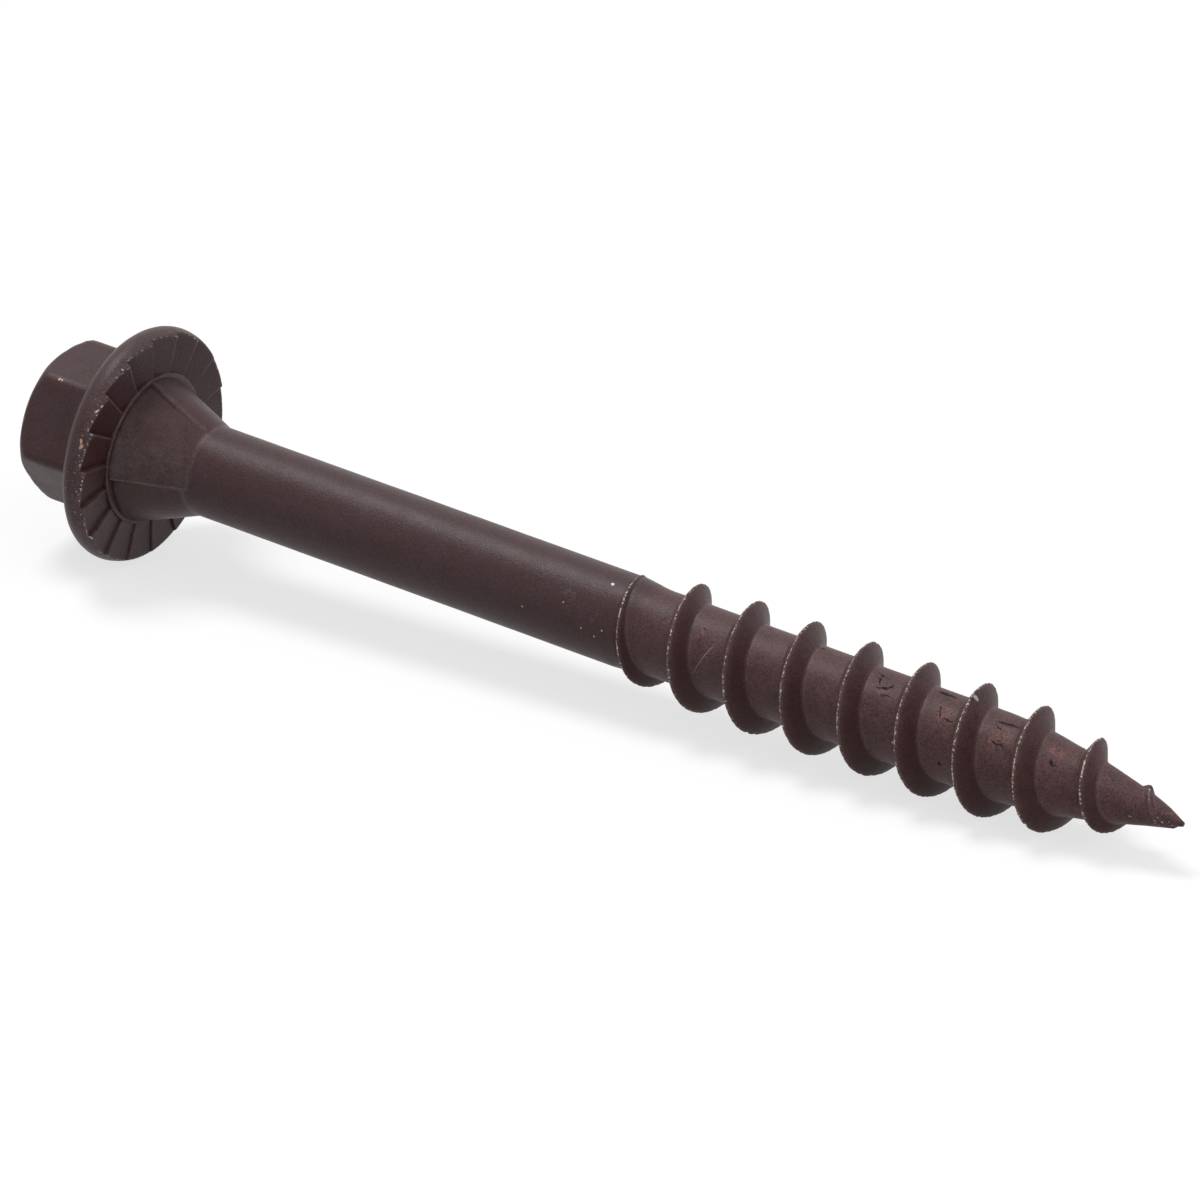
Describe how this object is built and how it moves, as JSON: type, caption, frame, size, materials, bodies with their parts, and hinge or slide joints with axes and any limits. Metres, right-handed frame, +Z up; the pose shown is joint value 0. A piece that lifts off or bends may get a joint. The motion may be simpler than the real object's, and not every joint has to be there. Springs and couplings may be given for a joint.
{
  "type": "lag screw",
  "caption": "Lag screw with a hex washer head, serrated bearing face, ribbed neck, plain shank and coarse pointed wood thread.",
  "frame": {"origin": "on the surface that the screw lies on, under the centre of its box", "axes": "+X along the screw towards its point, +Z up"},
  "size_m": [0.0838, 0.0152, 0.0152],
  "materials": {
    "coated_steel": "matte dark brown coating over steel, with worn edges"
  },
  "bodies": {
    "root": {"lag_screw": "coated_steel"}
  },
  "joints": []
}
